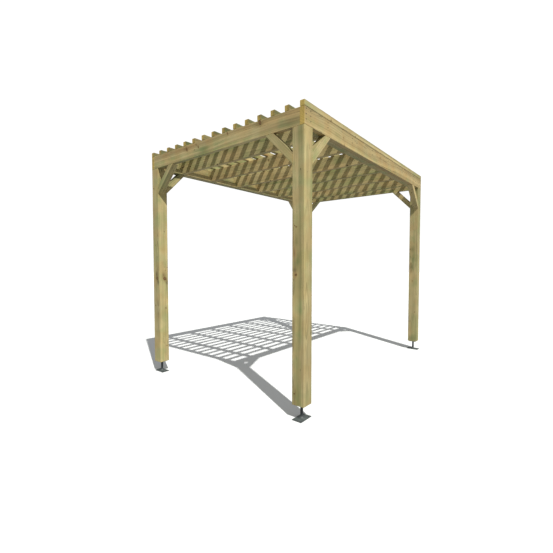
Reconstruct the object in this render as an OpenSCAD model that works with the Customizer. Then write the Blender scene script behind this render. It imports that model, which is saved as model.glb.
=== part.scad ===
// Open timber pergola: four square posts on steel feet carry a frame of beams.
// Joists run across it on a ledger inside each side beam, and battens run from front to rear on top.
// Origin: middle of the footprint, on the ground. +X right, +Y to the rear, +Z up.

/* [Overall] */
// Width over the outer faces of the posts
frame_w = 2090; // [1600:10:2600]
// Depth over the outer faces of the posts
frame_d = 3000; // [2300:10:3800]
// Length of a post, from its steel foot to the underside of the beams
post_len = 2200; // [1800:10:2700]

/* [Timber sections] */
// Side of the square posts
post_w = 115; // [90:1:145]
// Thickness of the four beams
beam_t = 45; // [32:1:60]
// Height of the four beams
beam_h = 140; // [115:1:200]
// Thickness of the joists
joist_t = 45; // [32:1:60]
// Height of the joists, flush with the tops of the beams
joist_h = 140; // [90:1:140]
// Thickness of the ledgers inside the side beams
ledger_t = 60; // [40:1:66]
// Height of the ledgers
ledger_h = 54; // [40:1:80]
// Width of the roof battens
batten_w = 45; // [32:1:60]
// Height of the roof battens
batten_h = 47; // [30:1:60]
// Bevel along the long edges of every timber
edge_cut = 2; // [1:0.5:4]

/* [Roof layout] */
// Distance between joist centres
joist_pitch = 460; // [380:5:520]

/* [Knee braces] */
// Distance along the post, and along the beam, that a brace reaches from their corner
brace_leg = 284; // [200:1:340]
// Height of the brace's section, in the plane of post and beam
brace_w = 63; // [45:1:80]
// Thickness of the brace, square to that plane
brace_t = 70; // [40:1:85]

/* [Steel feet] */
// Long side of the base plate
plate_l = 150; // [130:1:180]
// Short side of the base plate
plate_s = 90; // [88:1:110]
// Thickness of the base plate
plate_t = 5; // [4:0.5:8]
// Side of the square cap plate under the post
cap_s = 90; // [70:1:90]
// Thickness of the cap plate
cap_t = 4; // [3:0.5:6]
// Height from the ground to the end of the post
foot_h = 118; // [95:1:160]
// Diameter of the stem
stem_d = 24; // [18:1:30]
// Radius of the hollow flare between the stem and the base plate
flare_r = 30; // [20:1:32]
// Diameter of the ground bolt holes
bolt_d = 11; // [8:0.5:13]
// Distance from the middle of a hole to the edges of the base plate
bolt_edge = 15; // [12:1:18]

/* [Hidden] */
// Facets of a full circle
$fn = 64;
// Turned knee braces stand at this angle to the post
brace_angle = 45;
// Joists that the roof carries, and battens laid over them
joist_count = 6;
batten_count = 15;
// Clear reach of a cutting shape past the piece that it trims
cut_reach = 50;

half_w = frame_w / 2;
half_d = frame_d / 2;
beam_z = foot_h + post_len;
top_z = beam_z + beam_h;
inner_w = frame_w - 2 * beam_t;
batten_pitch = (frame_w - batten_w) / (batten_count - 1);
joist_span = joist_pitch * (joist_count - 1);
// Joists never hang below the beams
joist_depth = min(joist_h, beam_h);
joist_z = top_z - joist_depth;
ledger_len = frame_d - 2 * beam_t;
bolt_l = plate_l - 2 * bolt_edge;
bolt_s = plate_s - 2 * bolt_edge;

timber = "BurlyWood";
steel = "DimGray";

joist_names = [for (i = [1 : joist_count]) str("joist_", i)];
batten_names = [for (i = [1 : batten_count]) str("batten_", i)];
corners = [["front_left", -1, -1], ["front_right", 1, -1], ["rear_left", -1, 1], ["rear_right", 1, 1]];
foot_names = [for (c = corners) str("foot_", c[0])];
post_names = [for (c = corners) str("post_", c[0])];
end_brace_names = [for (c = corners) str("end_brace_", c[0])];
side_brace_names = [for (c = corners) str("side_brace_", c[0])];

// A sawn length along +X, its section in Y and Z, with all four long edges bevelled
module sawn(length, section_y, section_z) {
    c = edge_cut;
    outline = [
        [c, 0], [section_y - c, 0], [section_y, c], [section_y, section_z - c],
        [section_y - c, section_z], [c, section_z], [0, section_z - c], [0, c]
    ];
    rotate([90, 0, 90])
        linear_extrude(length)
            polygon(outline);
}

// The same length stood upright along +Z, centred on the origin in plan
module sawn_upright(length, side) {
    translate([side / 2, -side / 2, 0])
        rotate([0, -90, 0])
            sawn(length, side, side);
}

// The same length laid from front to rear along +Y
module sawn_deep(length, section_x, section_z) {
    mirror([1, -1, 0])
        sawn(length, section_x, section_z);
}

// Brace in the corner where a post face (X = 0) meets a beam's underside (Z = 0).
// It runs out along +X and is trimmed flush with both faces.
module knee_brace() {
    long_edge = brace_leg / cos(brace_angle);
    intersection() {
        translate([0, 0, -brace_leg])
            rotate([0, -brace_angle, 0])
                translate([-cut_reach - brace_w, 0, 0])
                    sawn(long_edge + 2 * (cut_reach + brace_w), brace_t, brace_w);
        translate([0, -cut_reach, -brace_leg - cut_reach])
            cube([brace_leg + cut_reach, brace_t + 2 * cut_reach, brace_leg + cut_reach]);
    }
}

// Puts a piece made for the front left corner at any of the four corners
module at_corner(side_x, side_y) {
    mirror([side_x > 0 ? 1 : 0, 0, 0])
        mirror([0, side_y > 0 ? 1 : 0, 0])
            children();
}

// Welded steel foot: base plate, flared stem and cap plate.
// The long side of its plate lies along X, or along Y at every other corner.
module foot(side_x, side_y) {
    turned = side_x * side_y < 0;
    stem_r = stem_d / 2;
    color(steel)
        translate([side_x * (half_w - post_w / 2), side_y * (half_d - post_w / 2), 0])
            rotate([0, 0, turned ? 90 : 0])
                difference() {
                    union() {
                        translate([-plate_l / 2, -plate_s / 2, 0])
                            cube([plate_l, plate_s, plate_t]);
                        translate([0, 0, plate_t])
                            flare(stem_r);
                        translate([0, 0, plate_t])
                            cylinder(h = foot_h - plate_t - cap_t, r = stem_r);
                        translate([-cap_s / 2, -cap_s / 2, foot_h - cap_t])
                            cube([cap_s, cap_s, cap_t]);
                    }
                    for (x = [-bolt_l / 2, bolt_l / 2], y = [-bolt_s / 2, bolt_s / 2])
                        translate([x, y, -cut_reach])
                            cylinder(h = plate_t + 2 * cut_reach, d = bolt_d);
                }
}

// Ring with a hollow quarter-round profile that spreads the stem onto the plate
module flare(stem_r) {
    rotate_extrude()
        difference() {
            square([stem_r + flare_r, flare_r]);
            translate([stem_r + flare_r, flare_r])
                circle(flare_r);
        }
}

module post(side_x, side_y) {
    color(timber)
        translate([side_x * (half_w - post_w / 2), side_y * (half_d - post_w / 2), foot_h])
            sawn_upright(post_len, post_w);
}

// The side beams run the full depth, and the end beams butt between them
module end_beam(side_y) {
    color(timber)
        at_corner(-1, side_y)
            translate([-inner_w / 2, -half_d, beam_z])
                sawn(inner_w, beam_t, beam_h);
}

module side_beam(side_x) {
    color(timber)
        at_corner(side_x, -1)
            translate([-half_w, -half_d, beam_z])
                sawn_deep(frame_d, beam_t, beam_h);
}

// Ledger along the inside of a side beam, flush with its underside
module ledger(side_x) {
    color(timber)
        at_corner(side_x, -1)
            translate([-inner_w / 2, -ledger_len / 2, beam_z])
                sawn_deep(ledger_len, ledger_t, ledger_h);
}

// Joist whose two ends are notched over the ledgers
module joist(i) {
    color(timber)
        translate([0, -joist_span / 2 + i * joist_pitch - joist_t / 2, 0])
            difference() {
                translate([-inner_w / 2, 0, joist_z])
                    sawn(inner_w, joist_t, joist_depth);
                for (side_x = [-1, 1])
                    at_corner(side_x, -1)
                        translate([-half_w, -cut_reach, beam_z - cut_reach])
                            cube([beam_t + ledger_t, joist_t + 2 * cut_reach, ledger_h + cut_reach]);
            }
}

module batten(i) {
    color(timber)
        translate([-half_w + i * batten_pitch, -half_d, top_z])
            sawn_deep(frame_d, batten_w, batten_h);
}

// Brace in the plane of the front or rear beam, flush with its outer face
module end_brace(side_x, side_y) {
    color(timber)
        at_corner(side_x, side_y)
            translate([-half_w + post_w, -half_d, beam_z])
                knee_brace();
}

// Brace in the plane of a side beam, flush with its outer face
module side_brace(side_x, side_y) {
    color(timber)
        at_corner(side_x, side_y)
            translate([-half_w, -half_d + post_w, beam_z])
                mirror([1, -1, 0])
                    knee_brace();
}

for (i = [0 : 3]) foot(corners[i][1], corners[i][2]);
for (i = [0 : 3]) post(corners[i][1], corners[i][2]);
end_beam(-1);  // beam_front
end_beam(1);  // beam_rear
side_beam(-1);  // beam_left
side_beam(1);  // beam_right
ledger(-1);  // ledger_left
ledger(1);  // ledger_right
for (i = [0 : joist_count - 1]) joist(i);
for (i = [0 : batten_count - 1]) batten(i);
for (i = [0 : 3]) end_brace(corners[i][1], corners[i][2]);
for (i = [0 : 3]) side_brace(corners[i][1], corners[i][2]);
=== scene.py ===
import math

import bmesh
import bpy
import numpy as np
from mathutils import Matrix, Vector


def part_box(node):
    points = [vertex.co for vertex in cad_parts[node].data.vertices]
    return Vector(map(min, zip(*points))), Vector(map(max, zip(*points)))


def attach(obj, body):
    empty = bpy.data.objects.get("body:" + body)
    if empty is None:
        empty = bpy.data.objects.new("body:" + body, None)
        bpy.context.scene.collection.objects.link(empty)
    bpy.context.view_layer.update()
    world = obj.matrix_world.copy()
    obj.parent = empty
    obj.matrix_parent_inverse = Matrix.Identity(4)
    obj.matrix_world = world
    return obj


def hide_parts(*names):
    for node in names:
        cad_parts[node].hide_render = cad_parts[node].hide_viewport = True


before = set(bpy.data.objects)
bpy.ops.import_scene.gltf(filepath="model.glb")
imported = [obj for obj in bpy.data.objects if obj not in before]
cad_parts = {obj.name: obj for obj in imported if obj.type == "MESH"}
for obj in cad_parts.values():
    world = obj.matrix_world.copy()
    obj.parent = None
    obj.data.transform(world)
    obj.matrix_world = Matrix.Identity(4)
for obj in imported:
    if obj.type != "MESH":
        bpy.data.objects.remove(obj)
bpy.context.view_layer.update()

# ---------------------------------------------------------------------------
# The place where it stands
# A pale, level studio floor under a plain white surround. One hard lamp stands
# high at the front right, and a soft even light fills the shade.

EYE = (2.528, -3.699, 1.264)   # at about the height of a person's chest
EYE_TILT = 87.63               # degrees up from straight down
EYE_TURN = 38.61               # degrees to the left of +Y
camera = bpy.data.cameras.new("camera")
camera.sensor_width = 36.0
camera.lens = 22.26
viewer = bpy.data.objects.new("camera", camera)
bpy.context.collection.objects.link(viewer)
viewer.location = EYE
viewer.rotation_euler = (math.radians(EYE_TILT), 0.0, math.radians(EYE_TURN))
bpy.context.scene.camera = viewer
bpy.context.scene.view_settings.view_transform = "Standard"

LAMP_TRAVEL = (-0.643, 0.331, -1.0)  # the way its light goes
lamp = bpy.data.lights.new("key_lamp", "SUN")
lamp.energy = 4.3
lamp.angle = math.radians(0.8)
lamp.color = (0.985, 0.99, 0.95)
key = bpy.data.objects.new("key_lamp", lamp)
bpy.context.collection.objects.link(key)
travel = np.array(LAMP_TRAVEL) / np.linalg.norm(LAMP_TRAVEL)
key.rotation_euler = (math.acos(-travel[2]), 0.0, math.atan2(-travel[0], travel[1]))


def linear(code):
    """An sRGB hex colour as linear RGBA: c / 12.92 below 0.04045, else ((c + 0.055) / 1.055) ** 2.4."""
    c = np.array([int(code[i:i + 2], 16) for i in (1, 3, 5)]) / 255.0
    c = np.where(c <= 0.04045, c / 12.92, ((c + 0.055) / 1.055) ** 2.4)
    return (*c.tolist(), 1.0)


def add(tree, kind, inputs, **settings):
    """Adds one node with its settings; a socket given as an input is linked, and a value is set."""
    made = tree.nodes.new(kind)
    for name, value in settings.items():
        setattr(made, name, value)
    for name, value in inputs.items():
        if isinstance(value, bpy.types.NodeSocket):
            tree.links.new(value, made.inputs[name])
        else:
            made.inputs[name].default_value = value
    return made


# Soft fill from all round, for a pale yard sends almost as much light up as the sky sends down
SKY_FILL = 0.40
GROUND_FILL = 0.55
world = bpy.data.worlds.new("studio_fill")
bpy.context.scene.world = world
world.use_nodes = True
tree = world.node_tree
tree.nodes.clear()
way = add(tree, "ShaderNodeTexCoord", {}).outputs["Generated"]
height = add(tree, "ShaderNodeSeparateXYZ", {0: way}).outputs["Z"]
fill = add(tree, "ShaderNodeMapRange", {"Value": height, "From Min": -0.25, "From Max": 0.35,
                                        "To Min": GROUND_FILL, "To Max": SKY_FILL}).outputs[0]
shade = add(tree, "ShaderNodeBackground", {"Color": (0.93, 0.97, 1.0, 1.0), "Strength": fill})
add(tree, "ShaderNodeOutputWorld", {"Surface": shade.outputs[0]})

FLOOR_REACH = 45.0
FLOOR_DROP = 0.0005  # the floor lies this far below the feet, so that the two faces never coincide
floor_mesh = bpy.data.meshes.new("floor")
floor_mesh.from_pydata([(side * FLOOR_REACH, end * FLOOR_REACH, -FLOOR_DROP) for side, end in
                        ((-1, -1), (1, -1), (1, 1), (-1, 1))], [], [(0, 1, 2, 3)])
floor = bpy.data.objects.new("floor", floor_mesh)
bpy.context.collection.objects.link(floor)
# Matt floor paint: pale, even and without gloss. It sends no light back up under the roof.
paint = bpy.data.materials.new("matt_floor_paint")
paint.use_nodes = True
paint.node_tree.nodes.clear()
coat = add(paint.node_tree, "ShaderNodeBsdfPrincipled",
           {"Base Color": linear("#E8E8E8"), "Roughness": 0.95, "Specular IOR Level": 0.0})
add(paint.node_tree, "ShaderNodeOutputMaterial", {"Surface": coat.outputs[0]})
floor_mesh.materials.append(paint)
floor.visible_diffuse = False
floor.visible_glossy = False

# White surround: a dome of radius R, (R cos e cos a, R cos e sin a, R sin e), seen but casting no light
SURROUND_REACH = 44.0
turn, rise = np.meshgrid(np.linspace(0, 2 * np.pi, 48, endpoint=False),
                         np.linspace(-0.3, np.pi / 2 - 0.02, 16))
dome = SURROUND_REACH * np.stack([np.cos(rise) * np.cos(turn), np.cos(rise) * np.sin(turn), np.sin(rise)], -1)
rows, columns = turn.shape
here = np.arange(rows * columns).reshape(rows, columns)
beside = np.roll(here, -1, 1)
quads = np.stack([here[:-1], here[1:], beside[1:], beside[:-1]], -1).reshape(-1, 4)
surround_mesh = bpy.data.meshes.new("surround")
surround_mesh.from_pydata(dome.reshape(-1, 3), [], quads.tolist() + [here[-1, ::-1].tolist()])
surround = bpy.data.objects.new("surround", surround_mesh)
bpy.context.collection.objects.link(surround)
cloth = bpy.data.materials.new("white_studio_paper")
cloth.use_nodes = True
cloth.node_tree.nodes.clear()
glow = add(cloth.node_tree, "ShaderNodeEmission", {"Color": (1.0, 1.0, 1.0, 1.0), "Strength": 1.05})
add(cloth.node_tree, "ShaderNodeOutputMaterial", {"Surface": glow.outputs[0]})
surround_mesh.materials.append(cloth)
for ray in ("diffuse", "glossy", "transmission", "shadow", "volume_scatter"):
    setattr(surround, "visible_" + ray, False)

# ---------------------------------------------------------------------------
# Steel feet
# Four welded feet: a base plate with four ground bolt holes, a round stem that
# flares out onto it, and a square cap plate. Steel, with dark grey powder coat.

EASE = 0.0008  # the coat rounds every edge of the plates by about this

# Powder coat on steel: a satin, slightly pebbled dark grey skin, dusty on top
powder = bpy.data.materials.new("dark_powder_coat")
powder.use_nodes = True
tree = powder.node_tree
tree.nodes.clear()
place = add(tree, "ShaderNodeTexCoord", {}).outputs["Object"]
# Clouds of dust and splash marks, 40 mm and 6 mm across
dust = add(tree, "ShaderNodeTexNoise", {"Vector": place, "Scale": 25.0, "Detail": 4.0,
                                        "Roughness": 0.6}).outputs["Fac"]
specks = add(tree, "ShaderNodeTexNoise", {"Vector": place, "Scale": 170.0, "Detail": 3.0}).outputs["Fac"]
# Orange peel of the coat, cells 1.6 mm apart
peel = add(tree, "ShaderNodeTexNoise", {"Vector": place, "Scale": 620.0, "Detail": 1.0}).outputs["Fac"]
facing = add(tree, "ShaderNodeNewGeometry", {}).outputs["Normal"]
upward = add(tree, "ShaderNodeSeparateXYZ", {0: facing}).outputs["Z"]
settle = add(tree, "ShaderNodeMapRange", {"Value": upward, "From Min": 0.2, "From Max": 1.0}).outputs[0]
patch = add(tree, "ShaderNodeMapRange", {"Value": dust, "From Min": 0.35, "From Max": 0.7,
                                         "To Min": 0.25, "To Max": 0.9}).outputs[0]
dusty = add(tree, "ShaderNodeMath", {0: settle, 1: patch}, operation="MULTIPLY").outputs[0]
skin = add(tree, "ShaderNodeMix", {"Factor": dusty, "A": linear("#2E3233"), "B": linear("#5E6562")},
           data_type="RGBA")
spots = add(tree, "ShaderNodeMapRange", {"Value": specks, "From Min": 0.62, "From Max": 0.75,
                                         "To Max": 0.5}).outputs[0]
skin = add(tree, "ShaderNodeMix", {"Factor": spots, "A": skin.outputs["Result"], "B": linear("#6A695E")},
           data_type="RGBA")
gloss = add(tree, "ShaderNodeMapRange", {"Value": dusty, "To Min": 0.42, "To Max": 0.75}).outputs[0]
peeled = add(tree, "ShaderNodeBump", {"Height": peel, "Strength": 0.25, "Distance": 0.0004})
coat = add(tree, "ShaderNodeBsdfPrincipled", {"Base Color": skin.outputs["Result"], "Roughness": gloss,
                                              "IOR": 1.5, "Normal": peeled.outputs[0]})
add(tree, "ShaderNodeOutputMaterial", {"Surface": coat.outputs[0]})

CORNERS = ("front_left", "front_right", "rear_left", "rear_right")
for corner in CORNERS:
    node = "foot_" + corner
    made = bpy.data.meshes.new(node + "_coated")
    merged = bmesh.new()
    merged.from_mesh(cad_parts[node].data)
    bmesh.ops.remove_doubles(merged, verts=merged.verts, dist=1e-6)
    merged.to_mesh(made)
    merged.free()
    made.materials.clear()
    made.materials.append(powder)
    made.polygons.foreach_set("use_smooth", np.zeros(len(made.polygons), bool))
    foot = bpy.data.objects.new(node + "_coated", made)
    bpy.context.collection.objects.link(foot)
    edge = foot.modifiers.new("ease", "BEVEL")
    edge.width = EASE
    edge.segments = 2
    edge.limit_method = "ANGLE"
    edge.angle_limit = math.radians(40)
    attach(foot, "root")
    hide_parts(node)

# A rippled weld bead joins the stem to the cap: a ring of radius R and bead radius b(t),
# ((R + b cos q) cos t, (R + b cos q) sin t, b sin q), b = BEAD + RIPPLE sin 26 t
STEM_R = 0.012   # radius of the stem
CAP = 0.004      # thickness of the cap plate
BEAD = 0.0034
RIPPLE = 0.0003
PROUD = 0.001    # the bead's middle stands this far off the stem, and below the cap
t, q = np.meshgrid(np.linspace(0, 2 * np.pi, 104, endpoint=False),
                   np.linspace(0, 2 * np.pi, 10, endpoint=False), indexing="ij")
bead = BEAD + RIPPLE * np.sin(26 * t)
ring = STEM_R + PROUD + bead * np.cos(q)
bead = np.stack([ring * np.cos(t), ring * np.sin(t), bead * np.sin(q)], -1).reshape(-1, 3)
grid = np.arange(t.size).reshape(t.shape)
onward, upward = np.roll(grid, -1, 0), np.roll(grid, -1, 1)
bead_faces = np.stack([grid, onward, np.roll(onward, -1, 1), upward], -1).reshape(-1, 4).tolist()
for corner in CORNERS:
    low, high = (np.array(at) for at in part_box("foot_" + corner))
    mesh = bpy.data.meshes.new("weld_" + corner)
    mesh.from_pydata(bead + [*((low + high) / 2)[:2], high[2] - CAP - PROUD], [], bead_faces)
    mesh.polygons.foreach_set("use_smooth", np.ones(len(bead_faces), bool))
    mesh.materials.append(powder)
    weld = bpy.data.objects.new("weld_" + corner, mesh)
    bpy.context.collection.objects.link(weld)
    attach(weld, "root")

# ---------------------------------------------------------------------------
# Coach screws
# Four hexagon-headed screws with washers hold each cap plate to the end of its
# post, driven up from below. Steel, zinc-plated and passivated.

# Zinc plate on steel, passivated to a dull olive-brown, with painted shade in the recesses
plated = bpy.data.materials.new("passivated_zinc_plate")
plated.use_nodes = True
tree = plated.node_tree
tree.nodes.clear()
deep = add(tree, "ShaderNodeAttribute", {}, attribute_name="painted_recess_shade").outputs["Fac"]
place = add(tree, "ShaderNodeTexCoord", {}).outputs["Object"]
# Handling marks about 1.5 mm across
marked = add(tree, "ShaderNodeTexNoise", {"Vector": place, "Scale": 650.0, "Detail": 3.0}).outputs["Fac"]
skin = add(tree, "ShaderNodeMix", {"Factor": marked, "A": linear("#7C745A"), "B": linear("#A1977A")},
           data_type="RGBA").outputs["Result"]
# Painted shade: the recess is mixed towards dark brown
skin = add(tree, "ShaderNodeMix", {"Factor": deep, "A": skin, "B": linear("#2C2820")},
           data_type="RGBA").outputs["Result"]
gloss = add(tree, "ShaderNodeMapRange", {"Value": marked, "To Min": 0.35, "To Max": 0.6}).outputs[0]
coat = add(tree, "ShaderNodeBsdfPrincipled", {"Base Color": skin, "Metallic": 1.0, "Roughness": gloss})
add(tree, "ShaderNodeOutputMaterial", {"Surface": coat.outputs[0]})


def heads(name, seats, out, profile, sides=12):
    """Heads turned about an axis n through each seat s: p = s + h n + r (cos t e + sin t f), for (r, h) down
    the profile and t in equal steps round it. The last two profile points lie in the recess."""
    seats, out = np.array(seats, float), np.array(out, float)
    out = np.broadcast_to(out / np.linalg.norm(out, axis=-1, keepdims=True), seats.shape)
    spare = np.where(np.abs(out[:, 2:]) < 0.9, [[0.0, 0.0, 1.0]], [[1.0, 0.0, 0.0]])
    e = np.cross(spare, out)
    e /= np.linalg.norm(e, axis=1)[:, None]
    f = np.cross(out, e)
    t = np.linspace(0, 2 * np.pi, sides, endpoint=False)
    around = np.cos(t)[None, :, None] * e[:, None] + np.sin(t)[None, :, None] * f[:, None]
    rings = (seats[:, None, None] + profile[None, :-1, 1, None, None] * out[:, None, None]
             + profile[None, :-1, 0, None, None] * around[:, None])
    tips = seats + profile[-1, 1] * out
    count, levels = len(seats), len(profile) - 1
    grid = np.arange(count * levels * sides).reshape(count, levels, sides)
    beside = np.roll(grid, -1, 2)
    walls = np.stack([grid[:, :-1], beside[:, :-1], beside[:, 1:], grid[:, 1:]], -1).reshape(-1, 4)
    tip = np.broadcast_to(grid.size + np.arange(count)[:, None], (count, sides))
    floors = np.stack([grid[:, -1], beside[:, -1], tip], -1).reshape(-1, 3)
    backs = grid[:, 0, ::-1]
    mesh = bpy.data.meshes.new(name)
    mesh.from_pydata(np.concatenate([rings.reshape(-1, 3), tips]), [],
                     walls.tolist() + floors.tolist() + backs.tolist())
    # The recess points are marked for painted shade
    shaded_recess_mask = np.zeros((count, levels, sides))
    shaded_recess_mask[:, -1] = 1.0
    mesh.attributes.new("painted_recess_shade", "FLOAT", "POINT").data.foreach_set(
        "value", np.concatenate([shaded_recess_mask.ravel(), np.ones(count)]).astype(np.float32))
    mesh.materials.append(plated)
    piece = bpy.data.objects.new(name, mesh)
    bpy.context.collection.objects.link(piece)
    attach(piece, "root")


# Profiles as (radius, height) from the back of the head to its middle, in mm made metres
WASHER = np.array([(9.0, -0.4), (9.0, 1.2), (8.6, 1.6), (6.0, 1.6), (5.6, 1.2), (0.0, 1.2)]) / 1000
HEXAGON = np.array([(7.4, 1.0), (7.4, 6.2), (6.6, 6.8), (3.0, 6.9), (2.9, 6.5), (0.0, 6.5)]) / 1000
SPREAD = 0.031  # from the middle of the cap to a screw, along both sides
for corner in CORNERS:
    low, high = (np.array(at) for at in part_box("foot_" + corner))
    x, y = np.meshgrid((-SPREAD, SPREAD), (-SPREAD, SPREAD))
    seats = (low + high) / 2 * (1, 1, 0) + np.stack([x.ravel(), y.ravel(), np.full(4, high[2] - CAP)], -1)
    heads("washers_" + corner, seats, (0, 0, -1), WASHER, 24)
    heads("coach_screws_" + corner, seats, (0, 0, -1), HEXAGON, 6)

# ---------------------------------------------------------------------------
# Posts
# Four square posts of planed, pressure-treated pine that stand on the caps of
# the feet. Each is one sawn length with eased edges and its own growth rings.

ARRIS = 0.003       # radius of an eased long edge
END_EASE = 0.002    # radius of an end's edge
PLANED = 0.0005     # the planer and drying leave each face this far under size
FACE_STEP = 0.011   # spacing of the mesh across a face
LONG_STEP = 0.05    # and along the timber
FINE_STEP = 0.01    # and along it at a branch
SMALL = 100         # a patch shorter than this, in mm, gets a finer mesh too
WHORL_PITCH = 0.44  # from one ring of branches on the trunk to the next
LEAN = 0.35         # rise of a branch for each metre outwards
BRANCH_REACH = 3.6  # a branch disturbs the grain out to this many of its own radii
WANDER = 0.006      # the pith strays this far to either side
TREMBLE = 0.002     # and this far again at a shorter length
UNEVEN = 0.0002     # depth of the planer's waves
WANE = 0.0009       # and of the knocks along the edges


def timber(node, along, up, pith, tone, seed, knots=(), patches=(), mitred=False, notch=None):
    """A sawn length carried along a straight path: p(s, q) = o + x(s, v) a + u(q) b + v(q) c.
    (u, v)(q) runs round a rectangle with quarter-round corners of radius ARRIS. An end at distance d < e
    is inset by e - sqrt(e^2 - (e - d)^2). A mitred end slides by v, so x runs from v to length - v.
    A notch (reach, rise) lifts v to at least the rise wherever x is within its reach of an end.
    Each vertex carries its place in the log, measured from the pith, and its offset from the nearest branch."""
    rng = np.random.default_rng(seed)
    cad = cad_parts[node].data
    points = np.empty(len(cad.vertices) * 3)
    cad.vertices.foreach_get("co", points)
    a = np.array(along, float) / np.linalg.norm(along)
    c = np.array(up, float) / np.linalg.norm(up)
    axes = np.array([a, np.cross(c, a), c])
    inside = points.reshape(-1, 3) @ axes.T
    low, high = inside.min(0), inside.max(0)
    middle, half = (low + high)[1:] / 2, (high - low)[1:] / 2
    length = high[0] - low[0]

    # Once round the section, anticlockwise, with the outward direction at each point
    ring, outward = [], []
    for quarter in range(4):
        h, g = half if quarter % 2 == 0 else half[::-1]
        steps = max(2, round(2 * (g - ARRIS) / FACE_STEP))
        flat = np.stack([np.full(steps + 1, h), np.linspace(ARRIS - g, g - ARRIS, steps + 1)], -1)
        swing = np.radians([30.0, 60.0])
        bend = np.stack([np.cos(swing), np.sin(swing)], -1)
        turned = np.linalg.matrix_power(np.array([[0.0, -1.0], [1.0, 0.0]]), quarter).T
        ring.append(np.concatenate([flat, [h - ARRIS, g - ARRIS] + ARRIS * bend]) @ turned)
        outward.append(np.concatenate([np.tile([1.0, 0.0], (steps + 1, 1)), bend]) @ turned)
    ring, outward = np.concatenate(ring), np.concatenate(outward)
    rounded = np.abs(outward).min(1) > 0.1

    # Branches grow three to a whorl, with the whorls evenly spaced, and the ones that matter most are given
    whorls = np.arange(rng.uniform(0.05, 0.4), length, WHORL_PITCH) + rng.uniform(-0.05, 0.05)
    start = np.repeat(whorls, 3) + rng.uniform(-0.02, 0.02, len(whorls) * 3)
    heading = rng.uniform(0, 2 * np.pi, len(start))
    thick = rng.uniform(0.002, 0.006, len(start))
    given = np.array(knots, float).reshape(-1, 3)
    start = np.concatenate([start, given[:, 0]])
    heading = np.concatenate([heading, np.radians(given[:, 1])])
    thick = np.concatenate([thick, given[:, 2] / 1000])

    ease = np.array([0.0, 0.1, 0.4, 1.0]) * END_EASE
    even = np.linspace(0.01, length - 0.01, int(length / LONG_STEP) + 2)
    small = np.array([(at[0], size[0]) for at, size, _ in patches if size[0] < SMALL]).reshape(-1, 2) / 1000
    fine = np.concatenate([(start[:, None] + np.arange(-6, 7) * FINE_STEP).ravel(),
                           (small[:, :1] + small[:, 1:] * np.linspace(-2, 2, 13)).ravel()])
    fine = fine[(fine > 0.012) & (fine < length - 0.012)]
    stations = np.concatenate([ease, np.unique(np.round(np.concatenate([even, fine]), 3)), length - ease[::-1]])
    if notch:
        shoulder = notch[0] + PLANED
        stations = np.concatenate([stations, [shoulder, shoulder, length - shoulder, length - shoulder]])
    stations = np.sort(stations)
    from_end = np.minimum(stations, length - stations)[:, None]
    inset = END_EASE - np.sqrt(np.maximum(END_EASE ** 2 - np.maximum(END_EASE - from_end, 0) ** 2, 0))
    around = np.linspace(0, 2 * np.pi, len(ring), endpoint=False)[None]
    s = stations[:, None]
    phase = rng.uniform(0, 2 * np.pi, 6)
    wave = (np.sin(s * 9.1 + around + phase[0]) + np.sin(s * 23.0 - 2 * around + phase[1])
            + np.sin(s * 57.0 + 3 * around + phase[2])) / 3
    rubbed = np.where(rounded, WANE, 0.0) * np.maximum(np.sin(s * 31.0 + 5 * around + phase[3]) * wave, 0)
    depth = inset + PLANED + UNEVEN * (1 + wave) + rubbed
    u = ring[None, :, 0] - depth * outward[None, :, 0]
    v = ring[None, :, 1] - depth * outward[None, :, 1]
    if notch:
        # Two stations share the place of each shoulder, and only the outer one of them is lifted
        in_notch = from_end[:, 0] < shoulder - 1e-7
        at_shoulder = np.flatnonzero(np.abs(from_end[:, 0] - shoulder) <= 1e-7)
        in_notch[at_shoulder[[0, -1]]] = True
        v = np.where(in_notch[:, None], np.maximum(v, notch[1] + PLANED - half[1]), v)
    slide = (v + half[1]) if mitred else 0 * v
    x = slide + (s / length) * (length - 2 * slide)
    place = np.stack([x + low[0], u + middle[0], v + middle[1]], -1) @ axes

    # The pith wanders a little along the log, which opens the rings into arches on the faces
    pith_u = pith[0] / 1000 + WANDER * np.sin(x * 3.7 + phase[4]) + TREMBLE * np.sin(x * 10.5 + phase[5])
    pith_v = pith[1] / 1000 + WANDER * np.sin(x * 3.1 + phase[5]) + TREMBLE * np.sin(x * 12.0 + phase[4])
    log = np.stack([x, u - pith_u, v - pith_v], -1)

    # Offset from the nearest branch, square to it and in its own radii. A branch starts at the pith.
    lean = np.stack([np.full(len(start), LEAN), np.cos(heading), np.sin(heading)], -1)
    lean /= np.linalg.norm(lean, axis=1)[:, None]
    gap = log[:, :, None] - np.stack([start, 0 * start, 0 * start], -1)
    out = (gap * lean).sum(-1)
    gap = gap - out[..., None] * lean
    radii = np.linalg.norm(gap, axis=-1) / thick
    radii[out < 0] = 99.0
    nearest = radii.argmin(-1)[..., None]
    branch = np.take_along_axis(gap, nearest[..., None], 2)[:, :, 0] / thick[nearest]
    near = np.clip((BRANCH_REACH - np.take_along_axis(radii, nearest, 2)[..., 0]) / 1.2, 0, 1)

    # Tone is lightness, green of the treatment and warmth, with soft local patches on top; some patches are painted
    # light and shade
    shade = np.broadcast_to(np.array(tone, float), place.shape).copy()
    for at, size, amount in patches:
        away = ((np.stack([x, u, v], -1) - np.array(at) / 1000) / (np.array(size) / 1000)) ** 2
        shade += np.exp(-away.sum(-1))[..., None] * np.array(amount)
    end = np.broadcast_to(np.clip(1 - from_end / END_EASE, 0, 1), x.shape)
    marks = np.stack([near, end, np.full(x.shape, rng.uniform())], -1)

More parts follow.
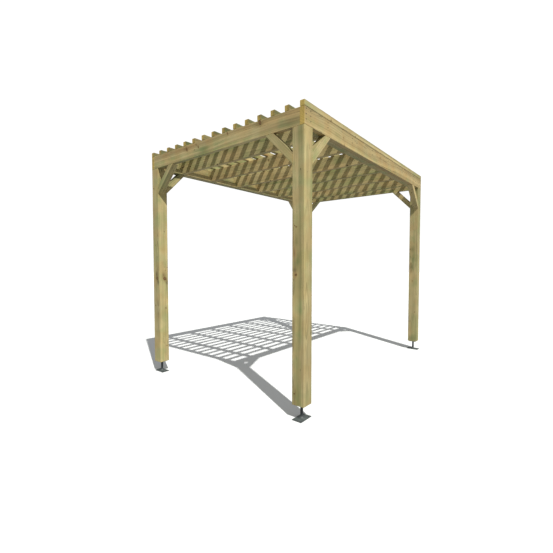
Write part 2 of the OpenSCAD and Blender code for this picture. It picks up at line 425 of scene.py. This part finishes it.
    across, count = len(ring), len(stations)
    grid = np.arange(across * count).reshape(count, across)
    following = np.roll(grid, -1, 1)
    quads = np.stack([grid[:-1], following[:-1], following[1:], grid[1:]], -1).reshape(-1, 4)
    mesh = bpy.data.meshes.new(node + "_timber")
    mesh.from_pydata(place.reshape(-1, 3), [], quads.tolist() + [grid[0, ::-1].tolist(), grid[-1].tolist()])
    curved = np.tile(rounded | np.roll(rounded, -1), count - 1)
    mesh.polygons.foreach_set("use_smooth", np.concatenate([curved, [False, False]]))
    log[..., 0] += 10.0 * rng.uniform()
    for name, values in (("log", log), ("branch", branch), ("tone", shade), ("marks", marks)):
        carried = mesh.attributes.new(name, "FLOAT_VECTOR", "POINT")
        carried.data.foreach_set("vector", values.astype(np.float32).ravel())
    mesh.materials.append(pine)
    if notch:
        merged = bmesh.new()
        merged.from_mesh(mesh)
        bmesh.ops.remove_doubles(merged, verts=merged.verts, dist=1e-6)
        merged.to_mesh(mesh)
        merged.free()
    piece = bpy.data.objects.new(node + "_timber", mesh)
    bpy.context.collection.objects.link(piece)
    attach(piece, "root")
    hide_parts(node)


# Planed pine, pressure-treated with copper salts: straw-coloured sapwood that the salts turn green in
# streaks, browner heartwood that they don't reach, dark late wood in every growth ring, and red-brown knots
RING = 0.0075        # growth rings are 4 to 8 mm apart in fast-grown pine
HEART = 0.055        # radius of the heartwood
FIBRE_DRIFT = 0.012  # the fibres stray by up to half of this
SWELLING = 0.014     # the rings stand out this far at the middle of a branch
TAPER = 0.009        # a trunk loses this much radius in each metre
pine = bpy.data.materials.new("treated_pine")
pine.use_nodes = True
tree = pine.node_tree
tree.nodes.clear()
log = add(tree, "ShaderNodeAttribute", {}, attribute_name="log").outputs["Vector"]
branch = add(tree, "ShaderNodeAttribute", {}, attribute_name="branch").outputs["Vector"]
tone = add(tree, "ShaderNodeAttribute", {}, attribute_name="tone").outputs["Vector"]
marks = add(tree, "ShaderNodeAttribute", {}, attribute_name="marks").outputs["Vector"]
lightness, greenness, warmth = add(tree, "ShaderNodeSeparateXYZ", {0: tone}).outputs
near, end, lot = add(tree, "ShaderNodeSeparateXYZ", {0: marks}).outputs

# Fibres wander by a few millimetres over each 0.1 m across and 1 m along
slow = add(tree, "ShaderNodeVectorMath", {0: log, 1: (1.1, 11.0, 11.0)}, operation="MULTIPLY").outputs[0]
drift = add(tree, "ShaderNodeTexNoise", {"Vector": slow, "Scale": 1.0, "Detail": 2.0}).outputs["Color"]
drift = add(tree, "ShaderNodeVectorMath", {0: drift, 1: (0.5, 0.5, 0.5)}, operation="SUBTRACT").outputs[0]
drift = add(tree, "ShaderNodeVectorMath", {0: drift, 1: (0.0, FIBRE_DRIFT, FIBRE_DRIFT)},
            operation="MULTIPLY").outputs[0]
log = add(tree, "ShaderNodeVectorMath", {0: log, 1: drift}, operation="ADD").outputs[0]
lengthwise, log_u, log_v = add(tree, "ShaderNodeSeparateXYZ", {0: log}).outputs
section = add(tree, "ShaderNodeCombineXYZ", {"Y": log_u, "Z": log_v}).outputs[0]
radius = add(tree, "ShaderNodeVectorMath", {0: section}, operation="LENGTH").outputs["Value"]

# Rings swell round a branch, fading as exp(-D^2 / 4) with D in branch radii
apart = add(tree, "ShaderNodeVectorMath", {0: branch}, operation="LENGTH").outputs["Value"]
squared = add(tree, "ShaderNodeMath", {0: apart, 1: apart}, operation="MULTIPLY").outputs[0]
fading = add(tree, "ShaderNodeMath", {0: squared, 1: -0.25}, operation="MULTIPLY").outputs[0]
fading = add(tree, "ShaderNodeMath", {0: fading}, operation="EXPONENT").outputs[0]
fading = add(tree, "ShaderNodeMath", {0: fading, 1: near}, operation="MULTIPLY").outputs[0]
swelling = add(tree, "ShaderNodeMath", {0: fading, 1: -SWELLING}, operation="MULTIPLY").outputs[0]
tapered = add(tree, "ShaderNodeMath", {0: lengthwise, 1: TAPER, 2: radius},
              operation="MULTIPLY_ADD").outputs[0]
grown = add(tree, "ShaderNodeMath", {0: tapered, 1: swelling}, operation="ADD").outputs[0]

# Each ring is wide pale early wood, then dark late wood that stops sharply
years = add(tree, "ShaderNodeMath", {0: grown, 1: 1 / RING}, operation="MULTIPLY").outputs[0]
unevenness = add(tree, "ShaderNodeTexNoise", {"W": years, "Scale": 0.6, "Detail": 1.0},
                 noise_dimensions="1D").outputs["Fac"]
years = add(tree, "ShaderNodeMath", {0: unevenness, 1: 1.8, 2: years}, operation="MULTIPLY_ADD").outputs[0]
year = add(tree, "ShaderNodeMath", {0: years}, operation="FLOOR").outputs[0]
season = add(tree, "ShaderNodeMath", {0: years}, operation="FRACT").outputs[0]
strength = add(tree, "ShaderNodeTexWhiteNoise", {"W": year}, noise_dimensions="1D").outputs["Value"]
strength = add(tree, "ShaderNodeMapRange", {"Value": strength, "To Min": 0.3, "To Max": 1.0}).outputs[0]
late = add(tree, "ShaderNodeMapRange", {"Value": season, "From Min": 0.4, "From Max": 0.9},
           interpolation_type="SMOOTHSTEP").outputs[0]
stop = add(tree, "ShaderNodeMapRange", {"Value": season, "From Min": 0.95, "From Max": 1.0,
                                        "To Min": 1.0, "To Max": 0.0}).outputs[0]
late = add(tree, "ShaderNodeMath", {0: late, 1: stop}, operation="MULTIPLY").outputs[0]
late = add(tree, "ShaderNodeMath", {0: late, 1: strength}, operation="MULTIPLY").outputs[0]

# Broad streaks, 25 to 40 mm across and a metre or more long, follow the rings
along = add(tree, "ShaderNodeMath", {0: lengthwise, 1: 0.5}, operation="MULTIPLY").outputs[0]
outwards = add(tree, "ShaderNodeMath", {0: grown, 1: 34.0}, operation="MULTIPLY").outputs[0]
apiece = add(tree, "ShaderNodeMath", {0: lot, 1: 40.0}, operation="MULTIPLY").outputs[0]
band = add(tree, "ShaderNodeCombineXYZ", {"X": along, "Y": outwards, "Z": apiece}).outputs[0]
streak = add(tree, "ShaderNodeTexNoise", {"Vector": band, "Scale": 1.0, "Detail": 3.0,
                                          "Roughness": 0.55}).outputs["Fac"]
hue = add(tree, "ShaderNodeTexNoise", {"Vector": band, "Scale": 0.7, "Detail": 2.0, "W": 7.3},
          noise_dimensions="4D").outputs["Fac"]
# Fibres, about 2 mm apart, drawn as coarse as they show, and 0.15 m long
fibre_place = add(tree, "ShaderNodeVectorMath", {0: log, 1: (7.0, 450.0, 450.0)}, operation="MULTIPLY").outputs[0]
fibre = add(tree, "ShaderNodeTexNoise", {"Vector": fibre_place, "Scale": 1.0, "Detail": 3.0,
                                         "Roughness": 0.6}).outputs["Fac"]

# Heartwood fades out over 24 mm at its radius
ragged = add(tree, "ShaderNodeMath", {0: hue, 1: -0.03, 2: grown}, operation="MULTIPLY_ADD").outputs[0]
heart = add(tree, "ShaderNodeMapRange", {"Value": ragged, "From Min": HEART - 0.030, "From Max": HEART - 0.006,
                                         "To Min": 1.0, "To Max": 0.0}, interpolation_type="SMOOTHSTEP").outputs[0]

# Colour: sapwood from straw to salt green, heartwood, then the late wood lines
greener = add(tree, "ShaderNodeMapRange", {"Value": hue, "From Min": 0.38, "From Max": 0.66,
                                           "To Min": -0.35, "To Max": 0.45}, clamp=False).outputs[0]
greener = add(tree, "ShaderNodeMath", {0: greener, 1: greenness}, operation="ADD").outputs[0]
# The salts took unevenly, in blotches 0.15 m across
spot = add(tree, "ShaderNodeTexCoord", {}).outputs["Object"]
blotch = add(tree, "ShaderNodeTexNoise", {"Vector": spot, "Scale": 7.0, "Detail": 2.0}).outputs["Color"]
blotch, mellow, _ = add(tree, "ShaderNodeSeparateColor", {0: blotch}).outputs
blotch = add(tree, "ShaderNodeMapRange", {"Value": blotch, "From Min": 0.35, "From Max": 0.65,
                                          "To Min": -0.25, "To Max": 0.3}).outputs[0]
mellow = add(tree, "ShaderNodeMapRange", {"Value": mellow, "From Min": 0.42, "From Max": 0.62,
                                          "To Min": -0.12, "To Max": 0.3}).outputs[0]
greener = add(tree, "ShaderNodeMath", {0: greener, 1: blotch}, operation="ADD", use_clamp=True).outputs[0]
sap = add(tree, "ShaderNodeMix", {"Factor": greener, "A": linear("#C6B480"), "B": linear("#8E985E")},
          data_type="RGBA")
warmer = add(tree, "ShaderNodeMath", {0: heart, 1: warmth}, operation="ADD").outputs[0]
warmer = add(tree, "ShaderNodeMath", {0: warmer, 1: mellow}, operation="ADD", use_clamp=True).outputs[0]
flesh = add(tree, "ShaderNodeMix", {"Factor": warmer, "A": sap.outputs["Result"], "B": linear("#BD9B62")},
            data_type="RGBA")
line = add(tree, "ShaderNodeMix", {"Factor": warmer, "A": linear("#7E7548"), "B": linear("#8A6844")},
           data_type="RGBA")
drawn = add(tree, "ShaderNodeMath", {0: late, 1: 0.62}, operation="MULTIPLY").outputs[0]
wood = add(tree, "ShaderNodeMix", {"Factor": drawn, "A": flesh.outputs["Result"], "B": line.outputs["Result"]},
           data_type="RGBA").outputs["Result"]
# The same rings on an end are darker, and gold where the salts soaked in
end_wood = add(tree, "ShaderNodeMix", {"Factor": drawn, "A": linear("#C9AA50"), "B": linear("#86662A")},
               data_type="RGBA").outputs["Result"]
on_end = add(tree, "ShaderNodeMath", {0: end, 1: 0.8}, operation="MULTIPLY").outputs[0]
wood = add(tree, "ShaderNodeMix", {"Factor": on_end, "A": wood, "B": end_wood},
           data_type="RGBA").outputs["Result"]
deep = add(tree, "ShaderNodeMapRange", {"Value": streak, "From Min": 0.3, "From Max": 0.7,
                                        "To Min": 0.74, "To Max": 1.14}).outputs[0]
thread = add(tree, "ShaderNodeMapRange", {"Value": fibre, "From Min": 0.25, "From Max": 0.75,
                                          "To Min": 0.86, "To Max": 1.1}).outputs[0]
level = add(tree, "ShaderNodeMath", {0: deep, 1: thread}, operation="MULTIPLY").outputs[0]
level = add(tree, "ShaderNodeMath", {0: level, 1: lightness}, operation="MULTIPLY").outputs[0]

# Knots: a dark bark ring at D = 1, red-brown wood with its own fine rings inside, a warm halo outside
inner = add(tree, "ShaderNodeMapRange", {"Value": apart, "From Min": 0.88, "From Max": 1.05,
                                         "To Min": 1.0, "To Max": 0.0}).outputs[0]
inner = add(tree, "ShaderNodeMath", {0: inner, 1: near}, operation="MULTIPLY").outputs[0]
halo = add(tree, "ShaderNodeMath", {0: fading, 1: 0.55}, operation="MULTIPLY").outputs[0]
off_rim = add(tree, "ShaderNodeMath", {0: apart, 1: 1.0}, operation="SUBTRACT").outputs[0]
off_rim = add(tree, "ShaderNodeMath", {0: off_rim}, operation="ABSOLUTE").outputs[0]
rim = add(tree, "ShaderNodeMapRange", {"Value": off_rim, "From Min": 0.05, "From Max": 0.24,
                                       "To Min": 1.0, "To Max": 0.0}).outputs[0]
rim = add(tree, "ShaderNodeMath", {0: rim, 1: near}, operation="MULTIPLY").outputs[0]
knot_years = add(tree, "ShaderNodeMath", {0: apart, 1: 24.0}, operation="MULTIPLY").outputs[0]
knot_years = add(tree, "ShaderNodeMath", {0: knot_years}, operation="SINE").outputs[0]
knot_years = add(tree, "ShaderNodeMapRange", {"Value": knot_years, "From Min": -1.0,
                                              "To Min": 0.0, "To Max": 0.6}).outputs[0]
knot_wood = add(tree, "ShaderNodeMix", {"Factor": knot_years, "A": linear("#86643A"), "B": linear("#5F4526")},
                data_type="RGBA").outputs["Result"]

# Drying checks: thin cracks in planes through the pith, up to 0.4 m long, painted dark as the shade inside them
round_pith = add(tree, "ShaderNodeMath", {0: log_v, 1: log_u}, operation="ARCTAN2").outputs[0]
check_place = add(tree, "ShaderNodeCombineXYZ", {"X": lengthwise, "Y": round_pith, "Z": apiece}).outputs[0]
check_place = add(tree, "ShaderNodeVectorMath", {0: check_place, 1: (0.7, 3.2, 1.0)}, operation="MULTIPLY").outputs[0]
split = add(tree, "ShaderNodeTexNoise", {"Vector": check_place, "Scale": 1.0, "Detail": 1.0}).outputs["Fac"]
split = add(tree, "ShaderNodeMath", {0: split, 1: 0.5}, operation="SUBTRACT").outputs[0]
split = add(tree, "ShaderNodeMath", {0: split}, operation="ABSOLUTE").outputs[0]
split = add(tree, "ShaderNodeMapRange", {"Value": split, "From Min": 0.0012, "From Max": 0.0045,
                                         "To Min": 1.0, "To Max": 0.0}).outputs[0]
runs = add(tree, "ShaderNodeTexNoise", {"Vector": check_place, "Scale": 3.1, "Detail": 1.0}).outputs["Fac"]
runs = add(tree, "ShaderNodeMapRange", {"Value": runs, "From Min": 0.52, "From Max": 0.58}).outputs[0]
split = add(tree, "ShaderNodeMath", {0: split, 1: runs}, operation="MULTIPLY").outputs[0]

# Old rain and handling leave a thin grey film in clouds 0.3 m across
film = add(tree, "ShaderNodeTexNoise", {"Vector": spot, "Scale": 3.3, "Detail": 5.0,
                                        "Roughness": 0.65}).outputs["Fac"]
film = add(tree, "ShaderNodeMapRange", {"Value": film, "From Min": 0.42, "From Max": 0.72,
                                        "To Max": 0.26}).outputs[0]

grey = add(tree, "ShaderNodeCombineColor", {0: level, 1: level, 2: level}).outputs[0]
wood = add(tree, "ShaderNodeMix", {"Factor": 1.0, "A": wood, "B": grey}, data_type="RGBA",
           blend_type="MULTIPLY").outputs["Result"]
# Then the grey film, the halo, the knot's own wood, its bark ring and the checks, each over the last
for amount, colour in ((film, linear("#8C8462")), (halo, linear("#94783F")), (inner, knot_wood),
                       (rim, linear("#453720")), (split, linear("#2E2416"))):
    wood = add(tree, "ShaderNodeMix", {"Factor": amount, "A": wood, "B": colour}, data_type="RGBA").outputs["Result"]

# Late wood stands 0.2 mm proud of the early wood, and checks are deep
ridge = add(tree, "ShaderNodeMath", {0: late, 1: 0.2}, operation="MULTIPLY").outputs[0]
ridge = add(tree, "ShaderNodeMath", {0: fibre, 1: 0.28, 2: ridge}, operation="MULTIPLY_ADD").outputs[0]
ridge = add(tree, "ShaderNodeMath", {0: split, 1: -1.2, 2: ridge}, operation="MULTIPLY_ADD").outputs[0]
ridge = add(tree, "ShaderNodeMath", {0: rim, 1: -0.5, 2: ridge}, operation="MULTIPLY_ADD").outputs[0]
relief = add(tree, "ShaderNodeBump", {"Height": ridge, "Strength": 0.8, "Distance": 0.001})
matt = add(tree, "ShaderNodeMapRange", {"Value": late, "To Min": 0.78, "To Max": 0.6}).outputs[0]
face = add(tree, "ShaderNodeBsdfPrincipled", {"Base Color": wood, "Roughness": matt, "IOR": 1.45,
                                              "Normal": relief.outputs[0]})
add(tree, "ShaderNodeOutputMaterial", {"Surface": face.outputs[0]})

UP, BACK, RIGHT = (0, 0, 1), (0, 1, 0), (1, 0, 0)
# For each: pith in mm from the middle of the section; tone; seed; knots as (m along, heading in degrees, radius
# in mm); and patches as place (x, u, v) and size in mm and change of tone. On a post u points to the right and v
# to the rear, so its front face is at v = -57 and its right face at u = 57.
timber("post_front_right", UP, BACK, (-50, -15), (1.0, 0.25, 0.05), 11,
       knots=[(1.032, -56, 7)],
       patches=[((1100, 21, -57), (4000, 11, 25), (-0.14, 0.18, 0.0)),
                ((1100, 47, -57), (4000, 12, 20), (0.06, 0.0, 0.0)),
                ((1100, 57, -42), (4000, 20, 22), (0.08, -0.1, 0.0)),
                ((1100, 57, 30), (4000, 20, 40), (-0.06, -0.2, 0.05)),
                ((2150, 5, -57), (110, 60, 30), (-0.18, 0.3, 0.1)),
                ((1150, -30, -57), (300, 40, 20), (-0.12, 0.1, 0.1)),
                ((1217, -36, -57), (35, 14, 20), (-0.22, -0.5, 0.6)),
                ((1050, -28, -57), (28, 15, 20), (-0.2, -0.5, 0.6)),
                ((1132, -28, -57), (46, 24, 20), (-0.18, 0.45, -0.1)),
                ((1085, -34, -57), (18, 25, 20), (-0.3, 0.6, 0.0)),
                ((1165, 0, -57), (60, 14, 20), (-0.22, 0.6, 0.0)),
                ((1310, -16, -57), (50, 14, 20), (-0.2, 0.6, 0.0)),
                ((50, -30, -57), (170, 35, 30), (-0.14, 0.4, 0.15)),
                ((700, 0, -57), (500, 40, 30), (0.06, 0.0, 0.0)),
                ((60, 57, 10), (170, 30, 60), (0.12, 0.2, -0.1))])
timber("post_front_left", UP, BACK, (30, 40), (0.98, 0.0, 0.12), 12,
       knots=[(0.931, -97, 14), (0.944, -34, 14)],
       patches=[((1012, 3, -57), (32, 16, 20), (-0.6, 0.0, 0.3)),
                ((965, 18, -57), (32, 17, 20), (-0.6, 0.0, 0.3)),
                ((920, 32, -57), (30, 15, 20), (-0.55, 0.0, 0.3)),
                ((1000, 57, 0), (30, 20, 17), (-0.55, 0.0, 0.3)),
                ((955, 57, 22), (30, 20, 19), (-0.6, 0.0, 0.3)),
                ((915, 57, 42), (28, 20, 16), (-0.55, 0.0, 0.3)),
                # Painted light: the whole right face is made lighter
                ((1100, 57, 0), (4000, 14, 90), (0.10, 0.0, 0.0)),
                ((60, 0, -57), (200, 80, 30), (0.12, 0.0, 0.0)),
                ((560, 0, -57), (240, 60, 30), (-0.10, 0.0, 0.0)),
                ((2150, 38, -57), (50, 25, 20), (-0.18, 0.0, 0.3)),
                ((1500, 57, -20), (500, 25, 18), (-0.06, -0.1, 0.0))])
timber("post_rear_right", UP, BACK, (-30, 75), (0.98, 0.35, 0.0), 13,
       patches=[((1270, 0, -57), (120, 80, 35), (-0.06, 0.2, 0.0)),
                ((1335, -12, -57), (45, 30, 30), (-0.25, 0.6, -0.1)),
                ((1200, 0, -57), (70, 16, 30), (-0.22, 0.5, 0.0)),
                ((1240, -45, -57), (60, 15, 30), (-0.15, 0.4, 0.0)),
                ((1070, -25, -57), (60, 35, 30), (-0.38, 0.8, -0.1)),
                ((30, 0, -57), (70, 90, 60), (-0.16, 0.4, 0.0)),
                # Painted shade: the whole right face is darkened
                ((900, 57, 0), (3000, 14, 90), (-0.17, 0.1, 0.0)),
                ((900, -35, -57), (2000, 26, 30), (0.05, -0.35, 0.15))])
timber("post_rear_left", UP, BACK, (20, 10), (1.0, 0.3, 0.0), 14)

# ---------------------------------------------------------------------------
# Beams
# Four deep beams on edge. The side beams run the full depth over the posts, and
# the end beams butt between them, screwed through the side beams.

# On a side beam u points to the left, and on an end beam to the rear
# On the left beam both patches are painted shade: its inner face and its underside are darkened
timber("beam_left", BACK, UP, (10, -160), (0.94, 0.3, 0.05), 21,
       patches=[((1500, -22, 10), (3000, 15, 60), (-0.08, 0.1, 0.0)),
                ((1500, 0, -70), (3000, 40, 12), (-0.16, 0.1, 0.0))])
timber("beam_right", BACK, UP, (-60, 60), (1.0, -0.05, 0.42), 22,
       patches=[((1500, -22, 55), (3000, 15, 30), (-0.10, 0.1, 0.05)),
                ((500, -22, 45), (400, 15, 25), (0.0, 0.3, -0.25)),
                ((800, -22, -55), (800, 15, 22), (0.03, 0.1, -0.2)),
                ((60, -22, 30), (120, 15, 60), (-0.03, 0.0, 0.25)),
                # Painted shade: a dark line along the top of the outer face, in the seam under the last batten
                ((1500, -22, 69), (3000, 8, 4), (-0.35, 0.0, 0.0))])
timber("beam_front", RIGHT, UP, (0, 72), (0.98, 0.12, 0.15), 23,
       knots=[(1.58, -126, 11), (0.58, -126, 9)],
       patches=[((1583, -22, 38), (55, 20, 22), (-0.35, 0.5, 0.1)),
                ((585, -22, 36), (45, 20, 20), (-0.28, 0.1, 0.4)),
                ((869, -22, -20), (70, 20, 35), (-0.24, 0.9, 0.0)),
                ((1900, -22, -20), (110, 20, 40), (-0.24, 0.6, 0.1)),
                ((1000, -22, 45), (2000, 20, 25), (-0.05, -0.1, 0.4)),
                ((300, -22, 45), (300, 20, 30), (-0.10, 0.1, 0.1)),
                ((350, -22, -30), (450, 20, 35), (0.12, 0.0, 0.0))])
timber("beam_rear", RIGHT, UP, (40, 60), (1.0, 0.25, 0.1), 24)

# Screws with plated countersunk heads and a star recess painted dark as shade, three by two at each end of a side
# beam
SCREW = np.array([(5.0, -0.9), (5.0, 0.35), (4.3, 0.85), (2.5, 1.0), (2.1, 0.4), (0.0, 0.3)]) / 1000
side_low, side_high = (np.array(corner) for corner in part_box("beam_right"))
IN_END_BEAM = 0.022  # from the end of a side beam to the middle of the end beam behind it
IN_POST = 0.086      # and to the second row of screws, over the post
ROWS = np.array([0.042, 0.082, 0.122])  # above the beam's underside
columns = np.array([side_low[1] + IN_END_BEAM, side_low[1] + IN_POST,
                    side_high[1] - IN_END_BEAM, side_high[1] - IN_POST])
y, z = np.meshgrid(columns, side_low[2] + ROWS)
for name, outer, side in (("left", -side_high[0], -1), ("right", side_high[0], 1)):
    heads("beam_screws_" + name, np.stack([np.full(y.size, outer), y.ravel(), z.ravel()], -1), (side, 0, 0), SCREW)

# ---------------------------------------------------------------------------
# Ledgers
# A heavy batten screwed along the inside of each side beam, flush with its
# underside, from the front beam to the rear beam. It carries the joists.

timber("ledger_left", BACK, UP, (40, -70), (0.92, 0.2, 0.1), 26)
timber("ledger_right", BACK, UP, (-60, 60), (0.92, 0.2, 0.1), 27)
ledge_low, ledge_high = (np.array(corner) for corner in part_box("ledger_right"))
JOIST_PITCH = 0.46
BESIDE = 0.2  # a ledger screw sits this far behind the middle of each joist
y = np.arange(-2.5, 3.0) * JOIST_PITCH + BESIDE
z = np.full(y.size, (ledge_low[2] + ledge_high[2]) / 2)
for name, inner, side in (("left", -ledge_low[0], 1), ("right", ledge_low[0], -1)):
    heads("ledger_screws_" + name, np.stack([np.full(y.size, inner), y, z], -1), (side, 0, 0), SCREW)

# ---------------------------------------------------------------------------
# Joists
# Six joists on edge, level with the tops of the beams and notched over the
# ledgers, each held by two screws through the side beam at either end.

ledge = (ledge_high[0] - ledge_low[0], ledge_high[2] - ledge_low[2])
for number, pith, tone in ((1, (70, -130), (1.0, 0.12, 0.1)), (2, (-60, 120), (1.02, 0.0, 0.3)),
                           (3, (110, 50), (1.0, 0.15, 0.25)), (4, (-70, -100), (1.0, 0.3, 0.1)),
                           (5, (50, 90), (1.02, 0.2, 0.2)), (6, (-80, 30), (1.0, 0.25, 0.25))):
    timber(f"joist_{number}", RIGHT, UP, pith, tone, 30 + number, notch=ledge)
PAIR = np.array([0.074, 0.116])  # heights of a joist's two screws above the beam's underside
joists_y = np.array([np.mean([corner[1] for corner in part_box(f"joist_{number}")]) for number in range(1, 7)])
y, z = np.meshgrid(joists_y, side_low[2] + PAIR)
for name, outer, side in (("left", -side_high[0], -1), ("right", side_high[0], 1)):
    heads("joist_screws_" + name, np.stack([np.full(y.size, outer), y.ravel(), z.ravel()], -1), (side, 0, 0), SCREW)

# ---------------------------------------------------------------------------
# Battens
# Fifteen near-square pine battens that run from front to rear, screwed down
# onto the end beams and every joist.

# Painted shade: the right side of each batten is darkened over some 0.15 m from each cut end. The last batten has a
# weathered upper edge instead, and painted shade in the seam under it.
painted_end_shade = [((at, -22, 5), (160, 15, 40), (-0.5, 0.15, 0.1)) for at in (0, 3000)]
weathered_edge_and_seam_shade = [((1500, -22, 22), (3000, 15, 12), (-0.22, 0.3, 0.0)),
             ((1500, -22, -22), (3000, 8, 4), (-0.3, 0.0, 0.0))]
for number in range(1, 16):
    rng = np.random.default_rng(400 + number)
    turn, reach = rng.uniform(0, 2 * np.pi), rng.uniform(45, 130)
    timber(f"batten_{number}", BACK, UP, (reach * math.cos(turn), reach * math.sin(turn)),
           (rng.uniform(0.93, 1.06), rng.uniform(0.25, 0.55), rng.uniform(-0.1, 0.05)), 40 + number,
           patches=weathered_edge_and_seam_shade if number == 15 else painted_end_shade)

SUNK = 0.001  # the screws are driven down until the head is level with the wood
batten_x = np.array([np.mean([corner[0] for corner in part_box(f"batten_{number}")]) for number in range(1, 16)])
batten_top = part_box("batten_1")[1][2]
beams_y = np.array([side_low[1] + IN_END_BEAM, side_high[1] - IN_END_BEAM])
x, y = np.meshgrid(batten_x, np.concatenate([beams_y, joists_y]))
heads("batten_screws", np.stack([x.ravel(), y.ravel(), np.full(x.size, batten_top - SUNK)], -1), (0, 0, 1), SCREW)

# ---------------------------------------------------------------------------
# Knee braces
# Eight short braces of the same pine, cut at 45 degrees and screwed on through
# their lower long edges, stiffen each post against both of its beams.

# Their upper long edges are painted darker: painted shade
painted_upper_edge_shade = [((200, 0, 32), (400, 90, 12), (-0.28, 0.1, 0.15))]
# Two screws near each end, as shares of the brace's length, to either side of its middle
BRACE_SCREWS = np.array([0.13, 0.2, 0.8, 0.87])
ASIDE = np.array([0.016, -0.016, 0.016, -0.016])
for number, corner in enumerate(CORNERS):
    inward_x = 1 if corner.endswith("left") else -1
    inward_y = 1 if corner.startswith("front") else -1
    timber("end_brace_" + corner, (inward_x, 0, 1), (-inward_x, 0, 1), (80, -90), (1.0, 0.25, 0.05),
           60 + number, mitred=True, patches=painted_upper_edge_shade)
    # The front left side brace gets a darker tone: painted shade on its inner face
    timber("side_brace_" + corner, (0, inward_y, 1), (0, -inward_y, 1), (-90, 80),
           (0.88 if corner == "front_left" else 1.08, 0.1, 0.0), 70 + number, mitred=True, patches=painted_upper_edge_shade)
    for kind, run in (("end", np.array([inward_x, 0, 1])), ("side", np.array([0, inward_y, 1]))):
        low, high = (np.array(at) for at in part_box(f"{kind}_brace_{corner}"))
        across = 1 if kind == "end" else 0
        foot_end = np.where(run > 0, low, high)
        middle = (low[across] + high[across]) / 2
        legs = high[2] - low[2]
        seats = foot_end + BRACE_SCREWS[:, None] * legs * run
        seats[:, across] = middle + ASIDE
        heads(f"{kind}_brace_screws_{corner}", seats, run * (1, 1, -1), SCREW)
